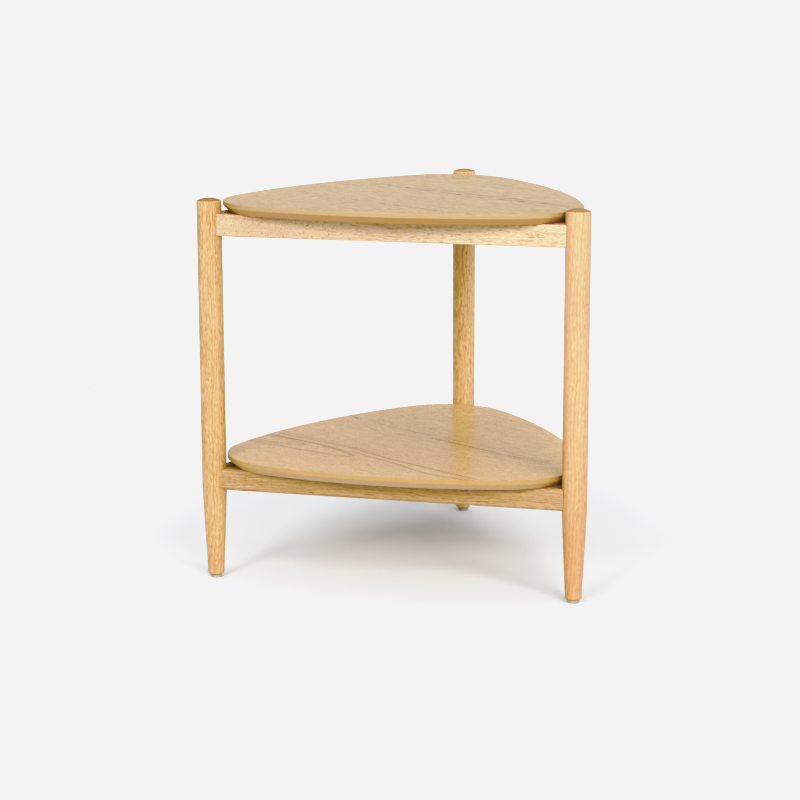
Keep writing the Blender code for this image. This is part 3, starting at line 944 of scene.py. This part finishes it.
def rounded(*corners):
    """Points of a path from its (x, y, rounding) corners."""
    spots = [Vector((x, y)) for x, y, _ in corners]
    points = [spots[0]]
    for before, spot, after, corner in zip(spots, spots[1:], spots[2:], corners[1:]):
        radius = corner[2]
        if not radius:
            points.append(spot)
            continue
        arriving = (spot - before).normalized()
        leaving = (after - spot).normalized()
        bend = arriving.angle_signed(leaving) * -1
        cut_back = radius * math.tan(abs(bend) / 2)
        normal = Vector((-arriving.y, arriving.x)) * math.copysign(1, bend)
        centre = spot - arriving * cut_back + normal * radius
        start = math.atan2(-normal.y, -normal.x)
        points += arc(centre, radius, start, start + bend)
    return points + [spots[-1]]


print("a quarter round has", len(arc(Vector((0, 0)), 1, 0, math.pi / 2)), "points")

# %% [markdown]
# A leg is turned from one square stick: a plain cylinder down to the lower rails, a
# long taper below them, and a slightly domed top. The dome is a flat crown that runs
# into a small round at the rim, and both arcs share one tangent, so no line shows.

# %% Legs
LEG_TOP_ROUND = 0.0030
LEG_TOP_FALL = 0.006  # from the dome's middle to the start of the straight side
FOOT_DIAMETER = 0.023
FOOT_CHAMFER = 0.0025
FOOT_SOFTNESS = 0.0006
TAPER_SOFTNESS = 0.40
NAIL_HOLE_RADIUS = 0.0013
NAIL_HOLE_DEPTH = 0.0123
LEG_COLUMNS = 96
LEG_BOARDS = {  # each leg's place in its board, and the wood
    "left": ((0.0, 0.0, 0.0), left_leg_wood),
    "right": ((0.9, 0.0, 0.0), right_leg_wood),
    "back": ((2.1, 0.0, 0.0), back_leg_wood),
}


def leg_profile():
    """A leg's outline from the bottom of its nail hole up to its top."""
    foot = FOOT_DIAMETER / 2
    bottom, top = bottom_of("leg_left"), top_of("leg_left")
    bore_top = bottom + NAIL_HOLE_DEPTH
    shoulder = top - LEG_TOP_FALL
    round_centre = leg_radius - LEG_TOP_ROUND
    crown = (round_centre**2 + LEG_TOP_FALL**2 - LEG_TOP_ROUND**2) / (
        2 * (LEG_TOP_FALL - LEG_TOP_ROUND)
    )
    join = math.pi / 2 - math.asin(round_centre / (crown - LEG_TOP_ROUND))
    lower = rounded(
        (0, bore_top, 0),
        (NAIL_HOLE_RADIUS, bore_top, 0),
        (NAIL_HOLE_RADIUS, bottom, 0),
        (foot - FOOT_CHAMFER, bottom, FOOT_SOFTNESS),
        (foot, bottom + FOOT_CHAMFER, FOOT_SOFTNESS),
        (leg_radius, bottom_of("lower_rail_front"), TAPER_SOFTNESS),
        (leg_radius, shoulder, 0),
    )
    rim = arc(Vector((round_centre, shoulder)), LEG_TOP_ROUND, 0, join)
    dome = arc(Vector((0, top - crown)), crown, join, math.pi / 2)
    return lower + rim[1:] + dome[1:-1] + [Vector((0, top))]


leg_recipe, tree, given = new_recipe(
    "turned leg",
    {"Int": ["Columns"], "Vector": ["Spot", "Board"], "Object": ["Holes"], "Material": ["Wood"]},
)
leg = turned(tree, given["Geometry"], given["Columns"])
leg = put(tree, leg, given["Spot"], NO_TURN)
leg = cut(tree, leg, given["Holes"])
leg = store_grain(tree, leg, given["Spot"], NO_TURN, given["Board"], True)
end_recipe(tree, leg, [(True, given["Wood"])])

for leg_name, (board, leg_wood) in LEG_BOARDS.items():
    values = {"Columns": LEG_COLUMNS, "Spot": leg_axes[leg_name], "Board": board}
    values |= {"Holes": dowel_holes, "Wood": leg_wood}
    piece = run_recipe(f"turned_leg_{leg_name}", leg_recipe, values, leg_profile())
    replace(piece, "leg_wood", f"leg_{leg_name}")

# %% [markdown]
# A rail is a straight stick with four softened edges, so it is a rounded rectangle
# swept along a line. Its ends are coped to fit round the legs, and mitred where two
# rails meet. Every rail comes from another stretch of board.

# %% Rails
RAIL_EDGE_ROUNDS = {"upper": 0.0020, "lower": 0.0045}
RAIL_ROUND_STEPS = 6
RAIL_BOARDS = {
    "upper_front": (0.0, 0.0, 0.0),
    "upper_right": (1.3, 0.02, 0.01),
    "upper_left": (2.7, -0.02, 0.0),
    "lower_front": (4.2, 0.02, -0.02),
    "lower_right": (5.5, 0.0, 0.03),
    "lower_left": (6.9, 0.01, -0.01),
}
RAIL_WOODS = {"upper": pale_rail_wood, "lower": tan_rail_wood}
RAIL_CUTS = ("Copes", "Mitres", "Dowel holes", "Screw holes", "Counterbores")

rail_recipe, tree, given = new_recipe(
    "rail",
    {
        "Float": ["Length", "Thickness", "Height", "Edge round", "Turn"],
        "Vector": ["Spot", "Board"],
        "Object": RAIL_CUTS,
        "Material": ["Wood"],
    },
)
section = tree.node(
    "GeometryNodeCurvePrimitiveQuadrilateral",
    {"mode": "RECTANGLE"},
    {"Width": given["Thickness"], "Height": given["Height"]},
)
section = tree.node(
    "GeometryNodeFilletCurve",
    {"mode": "POLY"},
    {"Curve": section, "Radius": given["Edge round"], "Count": RAIL_ROUND_STEPS},
)
half = given["Length"] * 0.5
line = tree.node(
    "GeometryNodeCurvePrimitiveLine",
    {"mode": "POINTS"},
    {"Start": tree.vector(-half, 0.0, 0.0), "End": tree.vector(half, 0.0, 0.0)},
)
swept = {"Curve": line, "Profile Curve": section, "Fill Caps": True}
rail = tree.node("GeometryNodeCurveToMesh", {}, swept)
rail = put(tree, rail, given["Spot"], given["Turn"])
for tool in RAIL_CUTS:
    rail = cut(tree, rail, given[tool])
rail = store_grain(tree, rail, given["Spot"], given["Turn"], given["Board"])
end_recipe(tree, rail, [(True, given["Wood"])])

for tier in TIERS:
    for side in SIDES:
        node = f"{tier}_rail_{side}"
        tools = (copes, mitres[side], dowel_holes, screw_holes, counterbores)
        values = {
            "Length": rail_runs[side].length,
            "Thickness": RAIL_THICKNESS,
            "Height": rail_height,
            "Edge round": RAIL_EDGE_ROUNDS[tier],
            "Spot": rail_spots[side] + UP * (bottom_of(node) + rail_height / 2),
            "Turn": rail_turns[side],
            "Board": RAIL_BOARDS[f"{tier}_{side}"],
            "Wood": RAIL_WOODS[tier],
        }
        values.update(zip(RAIL_CUTS, tools))
        piece = run_recipe(f"{tier}_{side}_rail", rail_recipe, values)
        replace(piece, "rail_wood", node)

# %% [markdown]
# Both shelves share one outline, and it follows a rule: three tight arcs round the
# corners and three wide ones along the sides, each tangent to the next. The recipe
# takes a round disc, moves its rim onto those arcs, and pushes it up step by step,
# drawing the rim in or out at each step as the edge's profile says.

# %% Shelves
CORNER_RADIUS = 0.104
SIDE_RADIUS = 0.695
SHELF_LEG_GAP = 0.004
EDGE_BAND = 0.006
BAND_SOFTNESS = 0.0012
BEVEL_SOFTNESS = 0.0006
ARRIS_SOFTNESS = 0.0008
CORNER_COLUMNS = 40
SIDE_COLUMNS = 40
THIRD_TURN = math.tau / 3
LEVEL = 0.99  # how far a face looks up or down when it is level
SHELVES = {  # each shelf's grain in degrees, its face and its edge
    "table_top": (-33, top_veneer, top_edge),
    "lower_shelf": (-27, shelf_veneer, shelf_edge),
}

thickness = height_of("table_top")
corner_centre = (
    (leg_axes["back"] - table_middle).length - leg_radius - SHELF_LEG_GAP - CORNER_RADIUS
)
arc_centres_apart = SIDE_RADIUS - CORNER_RADIUS
side_centre = (
    math.sqrt(4 * arc_centres_apart**2 - 3 * corner_centre**2) - corner_centre
) / 2
arc_join = math.asin(side_centre * math.sin(THIRD_TURN) / arc_centres_apart)


def shelf_edge_profile():
    """The edge's (inset, height) points, from the underside up to the upper face."""
    bevel = thickness - EDGE_BAND
    points = rounded(
        (2 * bevel, 0, 0),
        (bevel, 0, BEVEL_SOFTNESS),
        (0, bevel, BAND_SOFTNESS),
        (0, thickness, ARRIS_SOFTNESS),
        (2 * bevel, thickness, 0),
    )
    return points[1:-1]


def shelf_rim(tree, given):
    """The rim's arc centre, outward direction and radius, for each column."""
    index = tree.node("GeometryNodeInputIndex")
    per_third = given["Corner columns"] + given["Side columns"]
    third = math.floor(index / per_third)
    step = index % per_third
    on_corner = step < given["Corner columns"]
    on_side = 1 - on_corner
    middle = math.tau / 4 + third * THIRD_TURN
    join = given["Arc join"]
    corner_angle = middle - join + step / given["Corner columns"] * (join * 2)
    side_share = (step - given["Corner columns"]) / given["Side columns"]
    side_angle = middle + join + side_share * (THIRD_TURN - join * 2)
    angle = on_corner * corner_angle + on_side * side_angle
    across = middle + THIRD_TURN / 2
    corner = on_corner * given["Corner centre"]
    side = on_side * given["Side centre"]
    x = corner * middle.cos() - side * across.cos()
    y = corner * middle.sin() - side * across.sin()
    radius = on_corner * given["Corner radius"] + on_side * given["Side radius"]
    return tree.vector(x, y, 0.0), tree.vector(angle.cos(), angle.sin(), 0.0), radius


shelf_recipe, tree, given = new_recipe(
    "shelf",
    {
        "Float": [
            "Corner radius", "Corner centre", "Side radius", "Side centre", "Arc join", "Grain turn"
        ],
        "Int": ["Corner columns", "Side columns"],
        "Vector": ["Spot", "Board"],
        "Object": ["Holes"],
        "Material": ["Face", "Edge"],
    },
)
columns = (given["Corner columns"] + given["Side columns"]) * len(LEGS)
disc = tree.node("GeometryNodeMeshCircle", {"fill_type": "NGON"}, {"Vertices": columns})
rim = {"arc_centre": "FLOAT_VECTOR", "outward": "FLOAT_VECTOR", "arc_radius": "FLOAT"}
for (name, kind), value in zip(rim.items(), shelf_rim(tree, given)):
    disc = store(tree, disc, name, kind, value)


def step_place(inset, height):
    """Where the rim goes at one step of the edge's profile."""
    centre, outward, radius = (stored(tree, name, kind) for name, kind in rim.items())
    way = tree.vectors("SCALE", outward, radius - inset)
    return tree.vectors("ADD", tree.vectors("ADD", centre, way), (0, 0, height))


steps = shelf_edge_profile()
disc = move(tree, disc, step_place(*steps[0]))
under = tree.node("GeometryNodeFlipFaces", {}, {"Mesh": disc})
top = True
for inset, height in steps[1:]:
    pushed = tree.node(
        "GeometryNodeExtrudeMesh",
        {"mode": "FACES"},
        {"Mesh": disc, "Selection": top, "Offset Scale": 0.0, "Individual": False},
    )
    top = Value(tree, pushed.socket.node.outputs["Top"])
    disc = move(tree, pushed, step_place(inset, height), top)
shelf = merge(tree, tree.node("GeometryNodeJoinGeometry", {}, {"Geometry": [under, disc]}))
shelf = put(tree, shelf, given["Spot"], NO_TURN)
for name in rim:
    shelf = tree.node("GeometryNodeRemoveAttribute", {}, {"Geometry": shelf, "Name": name})
shelf = cut(tree, shelf, given["Holes"])
shelf = store_grain(tree, shelf, given["Spot"], given["Grain turn"], given["Board"])
level_faces = abs(tree.parts(tree.node("GeometryNodeInputNormal"))[2]) > LEVEL
end_recipe(tree, shelf, [(True, given["Edge"]), (level_faces, given["Face"])])

for shelf_name, (grain_turn, face, edge) in SHELVES.items():
    values = {
        "Corner radius": CORNER_RADIUS,
        "Corner centre": corner_centre,
        "Corner columns": CORNER_COLUMNS,
        "Side radius": SIDE_RADIUS,
        "Side centre": side_centre,
        "Side columns": SIDE_COLUMNS,
        "Arc join": arc_join,
        "Spot": table_middle + UP * bottom_of(shelf_name),
        "Grain turn": math.radians(grain_turn),
        "Board": (0.0, 0.0, 0.0),
        "Holes": screw_holes,
        "Face": face,
        "Edge": edge,
    }
    piece = run_recipe(f"veneered_{shelf_name}", shelf_recipe, values)
    replace(piece, "shelf_veneer", shelf_name)

# %% [markdown]
# Dowels, screws, nails and glides are small turned pieces that repeat, so each is made
# once and set on points. A point carries the direction that its copy's axis takes.

# %% Small turned pieces
copy_recipe, tree, given = new_recipe(
    "turned pieces on points",
    {"Int": ["Columns"], "Object": ["Points", "Slot", "Cross slot"], "Material": ["Finish"]},
)
one = turned(tree, given["Geometry"], given["Columns"])
one = cut(tree, one, given["Slot"], given["Cross slot"])
one = store_grain(tree, one, (0.0, 0.0, 0.0), NO_TURN, (0.0, 0.0, 0.0), True)
way = {"Vector": stored(tree, "way", "FLOAT_VECTOR")}
turn = tree.node("FunctionNodeAlignRotationToVector", {"axis": "Z"}, way)
sockets = {"Points": shape_of(tree, given["Points"]), "Instance": one, "Rotation": turn}
copies = tree.node("GeometryNodeInstanceOnPoints", {}, sockets)
end_recipe(tree, copies, [(True, given["Finish"])])


def points_for(name, spots, ways):
    """Points with a direction each, as vertices of a mesh."""
    mesh = bpy.data.meshes.new(name)
    mesh.from_pydata(spots, [], [])
    directions = mesh.attributes.new("way", "FLOAT_VECTOR", "POINT")
    for index, way in enumerate(ways):
        directions.data[index].vector = way
    return put_on_bench(name, mesh)


nothing = put_on_bench("nothing", bpy.data.meshes.new("nothing"))


def turn_copies(name, profile, columns, points, finish, slots=(nothing, nothing)):
    """Turn a piece from its profile, take its slots out, and copy it to its points."""
    values = {"Columns": columns, "Points": points, "Finish": finish}
    values.update(zip(("Slot", "Cross slot"), slots))
    return run_recipe(name, copy_recipe, values, profile)


print("made once and copied: dowels, screws, glides and nails")

# %% [markdown]
# A dowel is a short beech rod with chamfered ends, glued half into the leg and half
# into the rail. It hardly shows, but the joint is real, so the dowel is made as well.

# %% Dowels
DOWEL_CHAMFER = 0.001
DOWEL_COLUMNS = 24


def dowel_profile():
    radius, half = DOWEL_DIAMETER / 2, DOWEL_LENGTH / 2
    return rounded(
        (0, -half, 0),
        (radius - DOWEL_CHAMFER, -half, 0),
        (radius, DOWEL_CHAMFER - half, 0),
        (radius, half - DOWEL_CHAMFER, 0),
        (radius - DOWEL_CHAMFER, half, 0),
        (0, half, 0),
    )


dowel_points = points_for(
    "dowel_points", list(map(middle_of, dowel_nodes)), map(way_of, dowel_nodes)
)
dowels = turn_copies("dowels", dowel_profile(), DOWEL_COLUMNS, dowel_points, beech)
replace(dowels, "dowel_beech", *dowel_nodes)

# %% [markdown]
# The screws have pan heads with a cross recess, deep in their counterbores. The recess
# is two crossed wedges taken out of the head before the screw is copied.

# %% Screws
SCREW_HEAD_DIAMETER = 0.008
SCREW_HEAD_HEIGHT = 0.0025
SCREW_HEAD_ROUND = 0.0012
SCREW_POINT = 0.003
RECESS_LENGTH = 0.0042
RECESS_WIDTH = 0.0008
RECESS_DEPTH = 0.0016
RECESS_TAPER = 0.45
SCREW_COLUMNS = 32


def screw_profile():
    shank, head = SCREW_DIAMETER / 2, SCREW_HEAD_DIAMETER / 2
    length = height_of(screw_nodes[0])
    return rounded(
        (0, 0, 0),
        (head, 0, SCREW_HEAD_ROUND),
        (head, SCREW_HEAD_HEIGHT, 0),
        (shank, SCREW_HEAD_HEIGHT, 0),
        (shank, length - SCREW_POINT, 0),
        (0, length, 0),
    )


def slot(name, turn):
    """A wedge, wide at the head's face and narrow at the bottom of the recess."""
    shape = bmesh.new()
    bmesh.ops.create_cube(shape, size=1)
    for vert in shape.verts:
        inner = vert.co.z > 0
        vert.co.x *= RECESS_LENGTH * (RECESS_TAPER if inner else 1)
        vert.co.y *= RECESS_WIDTH
        vert.co.z *= 2 * RECESS_DEPTH
    bmesh.ops.rotate(shape, matrix=Matrix.Rotation(turn, 3, "Z"), verts=shape.verts)
    return finish_shape(name, shape)


screw_points = points_for(
    "screw_points",
    [on_axis(name, bottom_of(name)) for name in screw_nodes],
    [UP] * len(screw_nodes),
)
slots = slot("slot", 0), slot("cross_slot", math.pi / 2)
screws = turn_copies("screws", screw_profile(), SCREW_COLUMNS, screw_points, steel, slots)
replace(screws, "screw_steel", *screw_nodes)

# %% [markdown]
# Under each foot sits a round plastic glide, held by a nail whose head is sunk so that
# it never scratches the floor.

# %% Glides and nails
GLIDE_ROUND = 0.0004
NAIL_DIAMETER = 0.002
NAIL_POINT = 0.002
NAIL_HEAD_DIAMETER = 0.006
NAIL_HEAD_HEIGHT = 0.001
NAIL_HEAD_ROUND = 0.0004
GLIDE_MARGIN = 0.00075
GLIDE_TAPER = 0.001
GLIDE_EDGE = 0.0006
GLIDE_COLUMNS = 64

nail_shank = NAIL_DIAMETER / 2
nail_head = NAIL_HEAD_DIAMETER / 2
nail_low = bottom_of("glide_nail_left")
head_top = nail_low + NAIL_HEAD_HEIGHT


def glide_profile():
    low, high = bottom_of("glide_left"), top_of("glide_left")
    hole = nail_shank + FIT
    recess = nail_head + FIT
    top = FOOT_DIAMETER / 2 - FOOT_CHAMFER - GLIDE_MARGIN
    base = top - GLIDE_TAPER
    return rounded(
        (hole, high, 0),
        (hole, head_top + FIT, 0),
        (recess, head_top + FIT, 0),
        (recess, low, 0),
        (base - GLIDE_EDGE, low, GLIDE_ROUND),
        (base, GLIDE_EDGE, GLIDE_ROUND),
        (top, high, GLIDE_ROUND),
        (hole, high, 0),
    )


def nail_profile():
    high = top_of("glide_nail_left")
    return rounded(
        (0, nail_low, 0),
        (nail_head, nail_low, NAIL_HEAD_ROUND),
        (nail_head, head_top, 0),
        (nail_shank, head_top, 0),
        (nail_shank, high - NAIL_POINT, 0),
        (0, high, 0),
    )


foot_points = points_for("foot_points", list(leg_axes.values()), [UP] * len(LEGS))
glides = turn_copies("glides", glide_profile(), GLIDE_COLUMNS, foot_points, glide_plastic)
replace(glides, "glide_plastic", *[f"glide_{leg}" for leg in LEGS])
nails = turn_copies("glide_nails", nail_profile(), GLIDE_COLUMNS, foot_points, steel)
replace(nails, "nail_steel", *[f"glide_nail_{leg}" for leg in LEGS])

# %% [markdown]
# The cutting shapes have done their work and are cleared away.

# %% Clear the bench
for item in bench:
    bpy.data.objects.remove(item)
